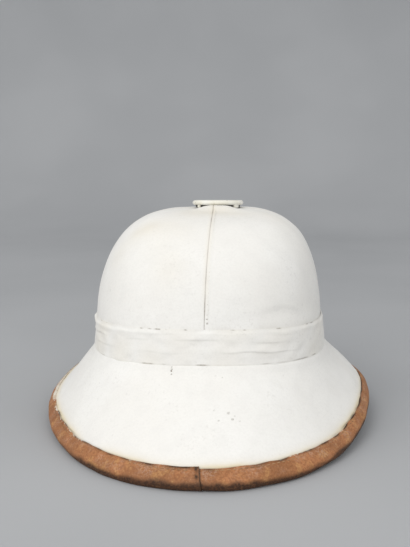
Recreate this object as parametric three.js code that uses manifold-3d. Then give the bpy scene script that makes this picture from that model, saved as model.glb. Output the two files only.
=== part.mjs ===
// A pith helmet: a moulded pith shell under sewn cloth, with a pleated band round the foot of its crown,
// a leather binding round its brim and a metal ventilator on top.
// Millimetres, +Z up. The near end, -Y, has the deeper brim and the place where the binding's ends meet.
import * as THREE from 'three';
import { mergeVertices } from 'three/addons/utils/BufferGeometryUtils.js';
import Module from 'manifold-3d';

// Driving dimensions

const AROUND = 60; // steps round the helmet, a multiple of the number of crown panels
const GAP = 0.3; // clear space between neighbouring pieces

const CROWN = {
  halfWidth: 98, // at the foot, where the crown meets the brim
  halfLength: 120,
  planPower: 2.45, // 2 is an ellipse in plan, and more is squarer
  footAtSides: 61.8, // height of the foot over the floor
  footAtEnds: 65.8,
  top: 175,
  sidePower: 3.62, // squareness of the dome seen from the front
  endPower: 2.85, // squareness of the dome seen from the side
  taper: 0.087, // share by which the dome draws in towards its top
  topShift: 4.1, // the dome leans this far to the right at its top
  topShiftPower: 2.6,
  rows: 10,
};

const BRIM = {
  halfWidth: 136.2,
  nearLength: 186.5,
  farLength: 172,
  rimHeight: 7.1, // top edge of the cloth over the floor, at the lowest places
  sag: 1.9, // how far the brim hollows between its foot and its rim
  rows: 4,
};

// How far the rim lifts off the floor, at equal steps of angle from the near end round by the right.
const RIM_RISE = [
  { at: 'near', rise: 0 },
  { at: 'near right', rise: 2 },
  { at: 'right', rise: 17 },
  { at: 'far right', rise: 6 },
  { at: 'far', rise: -0.3 },
  { at: 'far left', rise: 11 },
  { at: 'left', rise: 7 },
  { at: 'near left', rise: 0 },
];

const CLOTH = 1.2;
const PITH = 5;
const SHELL_TOP = CLOTH + GAP; // depths under the outside of the cloth
const SHELL_INSIDE = SHELL_TOP + PITH;
const SHELL_FOOT_SHARE = 0.006; // share of the brim's length left clear at the foot of the crown
const COVER_FOOT_SHARE = 0.02;
const SEAM_GAP = 0.6; // between the turned edges of two crown panels
const VENT_HOLE = 10; // half width of the hole in the dome, under the ventilator

// The band's pleats: height over the foot of the crown, and thickness over the cloth.
const BAND_PLEATS = [
  { rise: 26.4, out: 0.9 },
  { rise: 25.2, out: 1.4 },
  { rise: 17.4, out: 1.7 },
  { rise: 16.9, out: 1.3 },
  { rise: 9.8, out: 1.6 },
  { rise: 9.3, out: 1.3 },
  { rise: 2.2, out: 1.5 },
  { rise: 0.6, out: 1 },
];

const BINDING = {
  leather: 1.5,
  cover: 10, // width of brim that it covers, above and below
  joinGap: 0.6,
  bendSteps: 6,
};

const VENT = {
  offset: 7.4, // to the right of the crown's middle
  capRadius: 21.8,
  rimThickness: 3,
  dome: 0.6,
  wall: 1.2,
  stand: 1.9, // clear height of the air gap under the cap
  lugs: 4,
  lugWidth: 5.8,
  lugDepth: 2.2,
  lugRadius: 20,
  postRadius: 3.5,
  nutRadius: 14,
  nutThickness: 1.5,
  sides: 24,
};

// The helmet's outer form

const QUARTER = Math.PI / 2;
const power = (value, exponent) => Math.sign(value) * Math.abs(value) ** exponent;

// A point of an oval in plan. Angle t runs from the near end round by the right.
function oval(halfWidth, nearLength, farLength, planPower, t) {
  const length = Math.cos(t) > 0 ? nearLength : farLength;
  const x = halfWidth * power(Math.sin(t), 2 / planPower);
  const y = -length * power(Math.cos(t), 2 / planPower);
  return new THREE.Vector2(x, y);
}

// A smooth curve through the rows of RIM_RISE.
function rimRise(t) {
  const count = RIM_RISE.length;
  const place = ((t / (2 * Math.PI)) * count + count) % count;
  const row = Math.floor(place);
  const f = place - row;
  const [a, b, c, d] = [-1, 0, 1, 2].map((k) => RIM_RISE[(row + k + count) % count].rise);
  return b + 0.5 * f * (c - a + f * (2 * a - 5 * b + 4 * c - d + f * (3 * (b - c) + d - a)));
}

// The straight line that the brim follows at angle t, with its outward direction and its slope.
function brimLine(t) {
  const foot = oval(CROWN.halfWidth, CROWN.halfLength, CROWN.halfLength, CROWN.planPower, t);
  const rim = oval(BRIM.halfWidth, BRIM.nearLength, BRIM.farLength, 2, t);
  const footHeight = CROWN.footAtSides + (CROWN.footAtEnds - CROWN.footAtSides) * Math.cos(t) ** 2;
  const rimHeight = BRIM.rimHeight + rimRise(t);
  const outward = rim.clone().sub(foot);
  const slope = Math.atan2(footHeight - rimHeight, outward.length());
  return { foot, rim, footHeight, rimHeight, outward: outward.normalize(), slope };
}

// Depth is measured inwards from the outside of the cloth, and is negative outside it.
function footDrop(depth, slope) {
  return (depth * (1 - Math.sin(slope))) / Math.cos(slope);
}

// A point of the brim: share 0 is at the crown and 1 at the rim.
function brimPoint(t, share, depth) {
  const { foot, rim, footHeight, rimHeight, outward, slope } = brimLine(t);
  const inner = foot.clone().addScaledVector(outward, -depth);
  const outer = rim.clone().addScaledVector(outward, -depth * Math.sin(slope));
  const plan = inner.lerp(outer, share);
  const footZ = footHeight - footDrop(depth, slope);
  const rimZ = rimHeight - depth * Math.cos(slope);
  const z = THREE.MathUtils.lerp(footZ, rimZ, share) - BRIM.sag * Math.sin(Math.PI * share);
  return new THREE.Vector3(plan.x, plan.y, z);
}

function domePower(t) {
  return THREE.MathUtils.lerp(CROWN.endPower, CROWN.sidePower, Math.sin(t) ** 2);
}

// A point of the crown: lift 0 is at its foot, and a quarter turn at the top of its dome.
function crownPoint(t, lift, depth) {
  const p = domePower(t);
  const height = Math.sin(lift) ** (2 / p);
  const width = Math.cos(lift) ** (2 / p) * (1 - CROWN.taper * height);
  const { footHeight, slope } = brimLine(t);
  const length = CROWN.halfLength - depth;
  const plan = oval(CROWN.halfWidth - depth, length, length, CROWN.planPower, t).multiplyScalar(width);
  const shift = CROWN.topShift * height ** CROWN.topShiftPower;
  const z = THREE.MathUtils.lerp(footHeight - footDrop(depth, slope), CROWN.top - depth, height);
  return new THREE.Vector3(plan.x + shift, plan.y, z);
}

// The lift at a given height over the foot of the crown.
function liftAtRise(t, rise) {
  const share = rise / (CROWN.top - brimLine(t).footHeight);
  return Math.asin(share ** (domePower(t) / 2));
}

// The dome's outline from the front, whose equal steps of length give the crown's rows.
class FrontOutline extends THREE.Curve {
  constructor(topLift) {
    super();
    this.topLift = topLift;
  }

  getPoint(u) {
    return crownPoint(QUARTER, u * this.topLift, 0);
  }
}

function crownLifts() {
  const holeShare = VENT_HOLE / (CROWN.halfWidth * (1 - CROWN.taper));
  const topLift = Math.acos(holeShare ** (CROWN.sidePower / 2));
  const outline = new FrontOutline(topLift);
  const lifts = [];
  for (let row = 0; row <= CROWN.rows; row++) {
    lifts.push(topLift * outline.getUtoTmapping(1 - row / CROWN.rows));
  }
  return lifts;
}

const LIFTS = crownLifts(); // from the hole in the top down to the foot

// Building walls from sections

// Joins sections, each two lists of points named outside and inside, into one closed body.
// Both lists run from the crown side to the rim side. A ring joins its last section to its first,
// and a strip, whose two lists are equally long, is closed at its ends.
function loft(sections, ring) {
  const loops = sections.map(({ outside, inside }) => [...outside, ...inside.slice().reverse()]);
  const size = loops[0].length;
  const positions = loops.flat().flatMap((p) => [p.x, p.y, p.z]);
  const index = [];
  const spans = ring ? loops.length : loops.length - 1;
  for (let i = 0; i < spans; i++) {
    const here = i * size;
    const next = ((i + 1) % loops.length) * size;
    for (let j = 0; j < size; j++) {
      const down = (j + 1) % size;
      index.push(here + j, here + down, next + down, here + j, next + down, next + j);
    }
  }
  if (!ring) {
    const last = (loops.length - 1) * size;
    for (let j = 0; j < size / 2 - 1; j++) {
      const [a, b, c, d] = [size - 1 - j, size - 2 - j, j + 1, j];
      index.push(a, b, c, a, c, d);
      index.push(last + a, last + c, last + b, last + a, last + d, last + c);
    }
  }
  const geometry = new THREE.BufferGeometry();
  geometry.setAttribute('position', new THREE.Float32BufferAttribute(positions, 3));
  geometry.setIndex(index);
  geometry.computeVertexNormals();
  return geometry;
}

function anglesBetween(start, end, steps) {
  return Array.from({ length: steps + 1 }, (_, i) => THREE.MathUtils.lerp(start, end, i / steps));
}

const RING_ANGLES = anglesBetween(0, 2 * Math.PI, AROUND).slice(0, -1);
const BRIM_SHARES = anglesBetween(0, 1, BRIM.rows);

// Pieces

// The shell is stated in three bodies: the near and far halves of its crown, and its brim.
function shellCrown(half) {
  const start = (2 * half - 1) * QUARTER;
  const angles = anglesBetween(start, start + Math.PI, AROUND / 2);
  const sections = angles.map((t, i) => {
    const onEdge = i === 0 || i === angles.length - 1;
    const back = new THREE.Vector3(0, onEdge ? (half - 0.5) * GAP : 0, 0);
    const face = (depth) => LIFTS.map((lift) => crownPoint(t, lift, depth).add(back));
    return { outside: face(SHELL_TOP), inside: face(SHELL_INSIDE) };
  });
  return loft(sections, false);
}

function shellBrim() {
  const face = (t, shares, depth) => shares.map((share) => brimPoint(t, share, depth));
  const sections = RING_ANGLES.map((t) => ({
    outside: face(t, [SHELL_FOOT_SHARE, ...BRIM_SHARES.slice(1)], SHELL_TOP),
    inside: face(t, [SHELL_FOOT_SHARE, 0.5, 1], SHELL_INSIDE),
  }));
  return loft(sections, true);
}

// One of the four cloth gores of the crown, between two seams. Its edges stand back from the seams.
function crownPanel(quarter) {
  const start = quarter * QUARTER;
  const angles = anglesBetween(start, start + QUARTER, AROUND / 4);
  const footGap = liftAtRise(start, GAP);
  const lifts = [...LIFTS.slice(0, -1), footGap];
  const sections = angles.map((t, i) => {
    const onSeam = (i === 0) - (i === angles.length - 1);
    const back = new THREE.Vector3(Math.cos(t), Math.sin(t), 0).multiplyScalar((onSeam * SEAM_GAP) / 2);
    const face = (depth) => lifts.map((lift) => crownPoint(t, lift, depth).add(back));
    return { outside: face(0), inside: face(CLOTH) };
  });
  return loft(sections, false);
}

function brimCover() {
  const shares = [COVER_FOOT_SHARE, ...BRIM_SHARES.slice(1)];
  const face = (t, depth) => shares.map((share) => brimPoint(t, share, depth));
  return loft(RING_ANGLES.map((t) => ({ outside: face(t, 0), inside: face(t, CLOTH) })), true);
}

function band() {
  const bandTop = BAND_PLEATS[0].rise;
  const bandFoot = BAND_PLEATS.at(-1).rise;
  const sections = RING_ANGLES.map((t) => ({
    outside: BAND_PLEATS.map(({ rise, out }) => crownPoint(t, liftAtRise(t, rise), -out)),
    inside: [bandTop, bandTop / 2, bandFoot].map((rise) => crownPoint(t, liftAtRise(t, rise), -GAP)),
  }));
  return loft(sections, true);
}

// The binding's U section at angle t. Where the helmet stands on it, the leather is pressed flat.
function bindingSection(t, sideways) {
  const { rim, foot, rimHeight, footHeight, outward, slope } = brimLine(t);
  const along = new THREE.Vector3(outward.x * Math.cos(slope), outward.y * Math.cos(slope), -Math.sin(slope));
  const up = new THREE.Vector3(outward.x * Math.sin(slope), outward.y * Math.sin(slope), Math.cos(slope));
  const core = SHELL_INSIDE / 2;
  const bendCentre = new THREE.Vector3(rim.x, rim.y, rimHeight).addScaledVector(up, -core);
  const brimLength = Math.hypot(rim.distanceTo(foot), footHeight - rimHeight);
  const edgeShare = 1 - BINDING.cover / brimLength;
  const pressed = (p) => {
    const q = p.add(sideways);
    q.z = Math.max(q.z, 0);
    return q;
  };
  const face = (radius) => {
    const bend = anglesBetween(0, Math.PI, BINDING.bendSteps).map((a) => {
      const p = bendCentre.clone().addScaledVector(along, radius * Math.sin(a));
      return p.addScaledVector(up, radius * Math.cos(a));
    });
    const upperEdge = brimPoint(t, edgeShare, core - radius);
    const lowerEdge = brimPoint(t, edgeShare, core + radius);
    return [upperEdge, ...bend, lowerEdge].map(pressed);
  };
  const radius = core + GAP;
  return { outside: face(radius + BINDING.leather), inside: face(radius) };
}

function binding() {
  const angles = anglesBetween(0, 2 * Math.PI, AROUND);
  const halfGap = new THREE.Vector3(BINDING.joinGap / 2, 0, 0);
  const sections = angles.map((t, i) => {
    const onJoin = (i === 0) - (i === AROUND);
    return bindingSection(t, halfGap.clone().multiplyScalar(onJoin));
  });
  return loft(sections, false);
}

// Ventilator: a dished cap on four lugs, held by a post and a flat nut inside the crown

const wasm = await Module();
wasm.setup();

function toSolid(geometry) {
  const bare = geometry.clone().deleteAttribute('normal').deleteAttribute('uv');
  const merged = mergeVertices(bare);
  return new wasm.Manifold(
    new wasm.Mesh({
      numProp: 3,
      vertProperties: merged.attributes.position.array,
      triVerts: new Uint32Array(merged.index.array),
    }),
  );
}

function toGeometry(solid) {
  const { vertProperties, triVerts } = solid.getMesh();
  const geometry = new THREE.BufferGeometry();
  geometry.setAttribute('position', new THREE.BufferAttribute(vertProperties, 3));
  geometry.setIndex(new THREE.BufferAttribute(triVerts, 1));
  geometry.computeVertexNormals();
  return geometry;
}

// Heights here are over the outside of the crown's top.
function ventilator() {
  const { capRadius, rimThickness, dome, wall, stand, postRadius, nutRadius, nutThickness } = VENT;
  const nutTop = -SHELL_INSIDE - GAP;
  const capTop = stand + rimThickness;
  const lip = rimThickness / 2;
  const ceiling = capTop - wall;
  const profile = [
    [0, nutTop - nutThickness],
    [nutRadius, nutTop - nutThickness],
    [nutRadius, nutTop],
    [postRadius, nutTop],
    [postRadius, ceiling],
    [capRadius - 2 * lip, ceiling],
    [capRadius - 1.6 * lip, stand + 0.2 * lip],
    [capRadius - lip, stand],
    [capRadius - 0.3 * lip, stand + 0.3 * lip],
    [capRadius, stand + lip],
    [capRadius - 0.3 * lip, capTop - 0.3 * lip],
    [capRadius - lip, capTop],
    [capRadius / 2, capTop + 0.7 * dome],
    [0, capTop + dome],
  ];
  const turned = new THREE.LatheGeometry(profile.map(([r, z]) => new THREE.Vector2(r, z)), VENT.sides);
  let solid = toSolid(turned.rotateX(QUARTER));
  const lugFoot = GAP;
  const lugHeight = capTop - wall / 2 - lugFoot;
  for (let i = 0; i < VENT.lugs; i++) {
    const lug = new THREE.BoxGeometry(VENT.lugDepth, VENT.lugWidth, lugHeight);
    lug.translate(VENT.lugRadius - VENT.lugDepth / 2, 0, lugFoot + lugHeight / 2);
    lug.rotateZ(QUARTER / 2 + (i * 2 * Math.PI) / VENT.lugs);
    solid = solid.add(toSolid(lug));
  }
  return toGeometry(solid);
}

// Assembly

const FINISHES = {
  painted_cloth: { color: 0xeceae4, roughness: 0.85, metalness: 0 },
  leather: { color: 0xa0673c, roughness: 0.6, metalness: 0 },
  painted_metal: { color: 0xe9e6da, roughness: 0.6, metalness: 0 },
  pith: { color: 0xd9c9a5, roughness: 0.95, metalness: 0 },
};

const helmet = new THREE.Group();

function addPiece(name, geometry, finish) {
  const mesh = new THREE.Mesh(geometry, new THREE.MeshStandardMaterial(FINISHES[finish]));
  mesh.name = name;
  helmet.add(mesh);
  return mesh;
}

addPiece('shell_crown_near', shellCrown(0), 'pith');
addPiece('shell_crown_far', shellCrown(1), 'pith');
addPiece('shell_brim', shellBrim(), 'pith');
['near_right', 'far_right', 'far_left', 'near_left'].forEach((place, quarter) => {
  addPiece(`crown_panel_${place}`, crownPanel(quarter), 'painted_cloth');
});
addPiece('brim_cover', brimCover(), 'painted_cloth');
addPiece('band', band(), 'painted_cloth');
addPiece('edge_binding', binding(), 'leather');
addPiece('ventilator', ventilator(), 'painted_metal').position.set(VENT.offset, 0, CROWN.top);

// The origin is on the floor, in the middle of the brim's length.
helmet.position.y = (BRIM.nearLength - BRIM.farLength) / 2;

export default helmet;
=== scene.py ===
import math
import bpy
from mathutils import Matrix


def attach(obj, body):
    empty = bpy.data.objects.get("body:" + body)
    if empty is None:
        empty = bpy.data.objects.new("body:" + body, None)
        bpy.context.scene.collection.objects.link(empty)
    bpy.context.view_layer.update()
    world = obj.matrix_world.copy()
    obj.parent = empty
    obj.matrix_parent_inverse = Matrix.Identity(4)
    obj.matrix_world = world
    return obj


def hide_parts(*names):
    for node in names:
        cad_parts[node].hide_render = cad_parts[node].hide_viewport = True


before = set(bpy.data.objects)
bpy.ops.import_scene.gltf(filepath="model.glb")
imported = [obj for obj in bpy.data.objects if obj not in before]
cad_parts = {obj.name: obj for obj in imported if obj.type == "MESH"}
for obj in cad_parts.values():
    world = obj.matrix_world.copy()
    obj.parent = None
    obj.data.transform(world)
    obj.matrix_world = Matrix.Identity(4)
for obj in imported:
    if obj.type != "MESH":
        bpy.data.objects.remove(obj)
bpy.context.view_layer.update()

from types import SimpleNamespace as Named

import bpy
import numpy as np
from mathutils import Vector

# Sizes are in millimetres, and meshes are written in metres. +Z is up, and the near end is -Y.
# An angle t runs round the helmet from its near end by the right, and tables give it in degrees.
# Rise is the height over the crown's foot. Depth is inwards from the outside of the cloth.
# Tables of lumps have rows of size, height, seed.
MM = 0.001
TURN = 2 * math.pi
GAP = 0.3  # between pieces that lie on each other

CROWN = Named(
    half_width=98.0, half_length=120.0, plan_power=2.45, foot_sides=61.8, foot_ends=65.8, top=175.0,
    side_power=3.62, end_power=2.85, taper=0.087, top_shift=4.1, top_shift_power=2.6, hole=10.0,
)
BRIM = Named(half_width=136.2, near=186.5, far=172.0, rim_height=7.1, sag=1.9)
RIM_RISES = [0, 2, 17, 6, -0.3, 11, 7, 0]  # lift of the rim, at equal angles from the near end
MIDDLE_Y = (BRIM.near - BRIM.far) / 2  # from the crown's middle to the frame's origin
TO_FRAME = np.array([0, MIDDLE_Y, 0])
CLOTH = 1.2
SHELL = 5.0
SHELL_TOP = CLOTH + GAP
SHELL_INSIDE = SHELL_TOP + SHELL
LEATHER = 1.5
VENT = Named(
    offset=7.2, cap_radius=22.0, rim=4.0, dome=0.2, wall=1.2, stand=2.0, tilt=2.4,
    lug_depth=2.2, lug_radius=20.6, neck_radius=19.2, neck_wall=1.0, neck_tuck=0.6,
    post_radius=3.5, post_fillet=0.4, nut_radius=14.0, nut=1.5, nut_bevel=0.3,
)
LUGS = [(-37, 5.8), (-142, 3.2), (45, 5.8), (135, 5.8)]  # angle in degrees from the right, width
BAND_TOP = 26.4
BAND_FOOT = -0.9


# The helmet's form

HIGHEST_PLACE = 108.5  # places on the crown stay under this rise, short of its flat top
SPAN_BLUR = 0.6  # degrees to each side of a stretch's end, over which it fades


def signed_power(value, exponent):
    return np.sign(value) * np.abs(value) ** exponent


def smooth_step(low, high, value):
    share = np.clip((value - low) / (high - low), 0, 1)
    return share * share * (3 - 2 * share)


def bell(value, width):
    """1 at a value of 0, falling smoothly to almost nothing at twice the width."""
    return np.exp(-((value / width) ** 2))


def unit(vectors):
    return vectors / np.linalg.norm(vectors, axis=-1, keepdims=True)


def lengths_along(path):
    steps = np.linalg.norm(np.diff(path, axis=0), axis=1)
    return np.concatenate([[0], np.cumsum(steps)])


def left_side(t):
    """0 on the right half of the helmet, and up to 1 at its left side."""
    return np.maximum(-np.sin(t), 0)


def degrees_from(start, degrees):
    return np.mod(degrees - start + 180, 360) - 180


def along_spans(degrees, spans):
    """The sum of stretches round the helmet, from rows of first and last angle, share."""
    at = np.mod(degrees + 90, 360) - 90
    total = np.zeros_like(at)
    for first, last, share in spans:
        begun = smooth_step(first - SPAN_BLUR, first + SPAN_BLUR, at)
        ended = smooth_step(last - SPAN_BLUR, last + SPAN_BLUR, at)
        total += share * begun * (1 - ended)
    return total


def oval(half_width, near, far, plan_power, t):
    length = np.where(np.cos(t) > 0, near, far)
    x = half_width * signed_power(np.sin(t), 2 / plan_power)
    y = -length * signed_power(np.cos(t), 2 / plan_power)
    return x, y


def rim_rise(t):
    rises = np.array(RIM_RISES, float)
    place = np.mod(t / TURN * len(rises), len(rises))
    row = np.floor(place).astype(int) % len(rises)
    f = place - np.floor(place)
    a, b, c, d = (rises[(row + k) % len(rises)] for k in (-1, 0, 1, 2))
    return b + 0.5 * f * (c - a + f * (2 * a - 5 * b + 4 * c - d + f * (3 * (b - c) + d - a)))


class BrimLine:
    """The straight line that the brim follows at each angle."""

    def __init__(self, t):
        half_length = CROWN.half_length
        self.foot = oval(CROWN.half_width, half_length, half_length, CROWN.plan_power, t)
        self.rim = oval(BRIM.half_width, BRIM.near, BRIM.far, 2, t)
        ends = CROWN.foot_ends - CROWN.foot_sides
        self.foot_z = CROWN.foot_sides + ends * np.cos(t) ** 2
        self.rim_z = BRIM.rim_height + rim_rise(t)
        run = np.hypot(self.rim[0] - self.foot[0], self.rim[1] - self.foot[1])
        self.outward = [(self.rim[i] - self.foot[i]) / run for i in (0, 1)]
        self.slope = np.arctan2(self.foot_z - self.rim_z, run)
        self.length = np.hypot(run, self.foot_z - self.rim_z)

    def foot_drop(self, depth):
        return depth * (1 - np.sin(self.slope)) / np.cos(self.slope)


def brim_point(t, share, depth):
    """A point of the brim: share 0 is at the crown and 1 at the rim."""
    line = BrimLine(t)
    plan = []
    for i in (0, 1):
        inner = line.foot[i] - line.outward[i] * depth
        outer = line.rim[i] - line.outward[i] * depth * np.sin(line.slope)
        plan.append(inner + (outer - inner) * share)
    foot_z = line.foot_z - line.foot_drop(depth)
    rim_z = line.rim_z - depth * np.cos(line.slope)
    z = foot_z + (rim_z - foot_z) * share - BRIM.sag * np.sin(np.pi * share)
    return np.stack([plan[0], plan[1], z], -1)


def dome_power(t):
    return CROWN.end_power + (CROWN.side_power - CROWN.end_power) * np.sin(t) ** 2


def crown_height(t, lift):
    return np.sin(lift) ** (2 / dome_power(t))


def top_shift(height):
    return CROWN.top_shift * height ** CROWN.top_shift_power


def crown_point(t, lift, depth):
    """A point of the crown: lift 0 is at its foot, and a quarter turn at the top of its dome."""
    height = crown_height(t, lift)
    width = np.cos(lift) ** (2 / dome_power(t)) * (1 - CROWN.taper * height)
    line = BrimLine(t)
    half_length = CROWN.half_length - depth
    x, y = oval(CROWN.half_width - depth, half_length, half_length, CROWN.plan_power, t)
    foot_z = line.foot_z - line.foot_drop(depth)
    z = foot_z + (CROWN.top - depth - foot_z) * height
    return np.stack([x * width + top_shift(height), y * width, z], -1)


def lift_at_rise(t, rise):
    share = rise / (CROWN.top - BrimLine(t).foot_z)
    return np.arcsin(share ** (dome_power(t) / 2))


def round_grid(columns, rows, first, last):
    """Angles round the helmet and values from first to last, both (columns, rows)."""
    t = np.linspace(0, TURN, columns, endpoint=False)[:, None] + np.zeros((1, rows))
    return t, np.linspace(first, last, rows)[None] + np.zeros_like(t)


def wall_point(t, rise, depth):
    """A point beside the crown's wall, which goes on straight down below the crown's foot."""
    points = crown_point(t, lift_at_rise(t, np.maximum(rise, 0)), depth)
    points[..., 2] += np.minimum(rise, 0)
    return points


def crown_place(degrees, rise):
    t = np.radians(degrees)
    return crown_point(t, lift_at_rise(t, min(rise, HIGHEST_PLACE)), 0.0)


def crown_lifts(rows):
    """Lifts from the hole in the top down to the foot, at equal steps along the dome's side."""
    samples = 4001
    hole_share = CROWN.hole / (CROWN.half_width * (1 - CROWN.taper))
    top = math.acos(hole_share ** (CROWN.side_power / 2))
    fine = np.linspace(0, 1, samples) ** 2 * top
    length = lengths_along(crown_point(np.full_like(fine, math.pi / 2), fine, 0.0))
    return np.interp(np.linspace(length[-1], 0, rows), length, fine)


def ripples(points, size, seed, waves=14):
    """A smooth random field over points, of about unit height, with features of that size."""
    rng = np.random.default_rng(seed)
    directions = unit(rng.normal(size=(waves, 3)))
    numbers = math.pi / size * rng.uniform(0.6, 1.4, waves)
    phases = rng.uniform(0, TURN, waves)
    field = np.sin(points @ (directions * numbers[:, None]).T + phases)
    return field.sum(-1) * math.sqrt(2 / waves)


def lumps(points, table):
    return sum(height * ripples(points, size, seed) for size, height, seed in table)


def round_table(degrees, table):
    """A smooth closed curve through rows of angle, value."""
    angles, values = np.array(sorted(table), float).T
    half_degrees = np.linspace(-180, 180, 721)
    curve = np.interp(half_degrees, angles, values, period=360)
    window = np.hanning(17)
    reach = len(window) // 2
    padded = np.concatenate([curve[-reach - 1:-1], curve, curve[1:reach + 1]])
    curve = np.convolve(padded, window / window.sum(), "valid")
    return np.interp(degrees_from(0, degrees), half_degrees, curve)


# Meshes

SHARP_EDGE = 50  # degrees between two faces, from which their edge is sharp


def link(name, data):
    added = bpy.data.objects.new(name, data)
    bpy.context.scene.collection.objects.link(added)
    return added


def add_mesh(name, points, faces, marks, material, replaced):
    mesh = bpy.data.meshes.new(name)
    placed = (points + TO_FRAME) * MM
    mesh.from_pydata(placed.tolist(), [], faces)
    for mark, values in marks.items():
        attribute = mesh.attributes.new(mark, "FLOAT", "POINT")
        attribute.data.foreach_set("value", np.ascontiguousarray(values, np.float32).ravel())
    mesh.shade_smooth()
    mesh.set_sharp_from_angle(angle=math.radians(SHARP_EDGE))
    mesh.materials.append(material)
    piece = link(name, mesh)
    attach(piece, "root")
    if replaced:
        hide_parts(*replaced)


def faces_between(low, high, sides):
    """Faces between two rings of points, each given by the number of its first point."""
    ring = [(k, (k + 1) % sides) for k in range(sides)]
    return [(low + a, low + b, high + b, high + a) for a, b in ring]


def wall_faces(columns, size, ring, half):
    """Faces of a wall whose columns are closed loops of size points, half of them on its outside."""
    spans = columns if ring else columns - 1
    i, j = np.meshgrid(np.arange(spans), np.arange(size), indexing="ij")
    here, there = i * size, (i + 1) % columns * size
    down = (j + 1) % size
    faces = np.stack([here + j, here + down, there + down, there + j], -1).reshape(-1, 4)
    if ring:
        return faces.tolist()
    k = np.arange(half - 1)
    cap = np.stack([size - 1 - k, size - 2 - k, k + 1, k], -1)
    return np.concatenate([faces, cap, cap[:, ::-1] + (columns - 1) * size]).tolist()


def add_wall(name, outside, inside, ring, marks, material, replaced):
    """A closed wall. outside and inside are (columns, rows, 3), and marks are (columns, rows)."""
    columns, half = outside.shape[:2]
    loops = np.concatenate([outside, inside[:, ::-1]], 1)
    looped = {}
    for mark, values in marks.items():
        back = np.repeat(values[:, -1:], inside.shape[1], 1)
        if inside.shape[1] == half:
            back = values[:, ::-1]
        looped[mark] = np.concatenate([values, back], 1)
    faces = wall_faces(columns, loops.shape[1], ring, half)
    add_mesh(name, loops.reshape(-1, 3), faces, looped, material, replaced)


# Materials

class Shader:
    """A node material, with short calls for the nodes used here."""

    def __init__(self, name):
        self.material = bpy.data.materials.new(name)
        self.material.use_nodes = True
        self.tree = self.material.node_tree
        self.surface = self.tree.nodes["Principled BSDF"]
        place = self.node("TexCoord", {}).outputs["Object"]
        self.place = self.node("VectorMath", {0: place, "Scale": 1 / MM}, operation="SCALE").outputs[0]

    def feed(self, socket, value):
        if isinstance(value, bpy.types.NodeSocket):
            self.tree.links.new(value, socket)
        else:
            socket.default_value = value

    def node(self, kind, inputs, **settings):
        """A new node with its settings, and its inputs by name or number."""
        node = self.tree.nodes.new("ShaderNode" + kind)
        for setting, value in settings.items():
            setattr(node, setting, value)
        for key, value in inputs.items():
            self.feed(node.inputs[key], value)
        return node

    def mark(self, name):
        return self.node("Attribute", {}, attribute_name=name).outputs["Fac"]

    def noise(self, size, detail, stretch=(1, 1, 1)):
        stretched = self.node("Mapping", {"Vector": self.place, "Scale": stretch}).outputs[0]
        inputs = {"Vector": stretched, "Scale": 1 / size, "Detail": detail}
        return self.node("TexNoise", inputs).outputs["Fac"]

    def spot(self, centre, radius, core=0.35):
        """1 in the core of a spot, a share of its radius, and 0 beyond the radius."""
        distance = self.node("VectorMath", {0: self.place, 1: centre}, operation="DISTANCE")
        return self.step(distance.outputs["Value"], radius, radius * core)

    def math(self, operation, a, b=0.0):
        return self.node("Math", {0: a, 1: b}, operation=operation).outputs[0]

    def times(self, *values):
        product = values[0]
        for value in values[1:]:
            product = self.math("MULTIPLY", product, value)
        return product

    def step(self, value, low, high):
        """0 at the low value and 1 at the high one, with a smooth step between them."""
        inputs = {"Value": value, "From Min": low, "From Max": high}
        return self.node("MapRange", inputs, interpolation_type="SMOOTHSTEP").outputs[0]

    def span(self, value, low, high):
        """A value from 0 to 1, spread evenly from the low value to the high one."""
        return self.node("MapRange", {"Value": value, "To Min": low, "To Max": high}).outputs[0]

    def mix(self, share, a, b):
        node = self.node("Mix", {"Factor": share}, data_type="RGBA")
        colours = [s for s in node.inputs if s.type == "RGBA"]
        for socket, colour in zip(colours, (a, b)):
            self.feed(socket, (*colour, 1) if isinstance(colour, tuple) else colour)
        return next(s for s in node.outputs if s.type == "RGBA")

    def bump(self, height, distance, strength):
        node = self.node("Bump", {"Distance": distance * MM, "Strength": strength, "Height": height})
        earlier = self.surface.inputs["Normal"]
        if earlier.is_linked:
            self.tree.links.new(earlier.links[0].from_socket, node.inputs["Normal"])
        self.tree.links.new(node.outputs[0], earlier)

    def finish(self, colour, roughness, specular=0.3):
        self.feed(self.surface.inputs["Base Color"], colour)
        self.feed(self.surface.inputs["Roughness"], roughness)
        self.surface.inputs["Specular IOR Level"].default_value = specular
        return self.material


# Colours of the cloth's paint, the leather, the ventilator's paint and the pith. Some are painted shade: the
# cloth's near-black under the cap and its grey for patches above the band and shade along the band's pleats,
# the leather's dark brown underneath, together with dirt, and the tinplate's near-black under the cap.
PAINT = Named(
    dull=(0.825, 0.812, 0.78), bright=(0.852, 0.845, 0.82), blotch=(0.77, 0.76, 0.735),
    scuff=(0.63, 0.615, 0.585), fine=(0.7, 0.69, 0.665), yellow=(0.72, 0.63, 0.45),
    grime=(0.36, 0.33, 0.28), speck=(0.17, 0.14, 0.1), crack=(0.17, 0.13, 0.085),
    hidden=(0.025, 0.02, 0.015),
)
TAN = Named(
    dark=(0.295, 0.124, 0.049), light=(0.425, 0.18, 0.074), ochre=(0.55, 0.29, 0.11),
    mottle=(0.21, 0.08, 0.03), fleck=(0.62, 0.37, 0.19), film=(0.54, 0.37, 0.28),
    soil=(0.05, 0.022, 0.011), crack=(0.06, 0.028, 0.013), coat=(0.76, 0.71, 0.62),
    old_coat=(0.62, 0.51, 0.39),
)
TIN = Named(
    dull=(0.8, 0.78, 0.69), bright=(0.86, 0.85, 0.8), stain=(0.6, 0.52, 0.38), chip=(0.2, 0.15, 0.1),
    under=(0.03, 0.024, 0.018),
)
FIBRE = Named(dark=(0.5, 0.4, 0.25), light=(0.62, 0.52, 0.35), strand=(0.4, 0.3, 0.17))
THREAD_PITCH = 0.9  # of the cotton's weave

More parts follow.
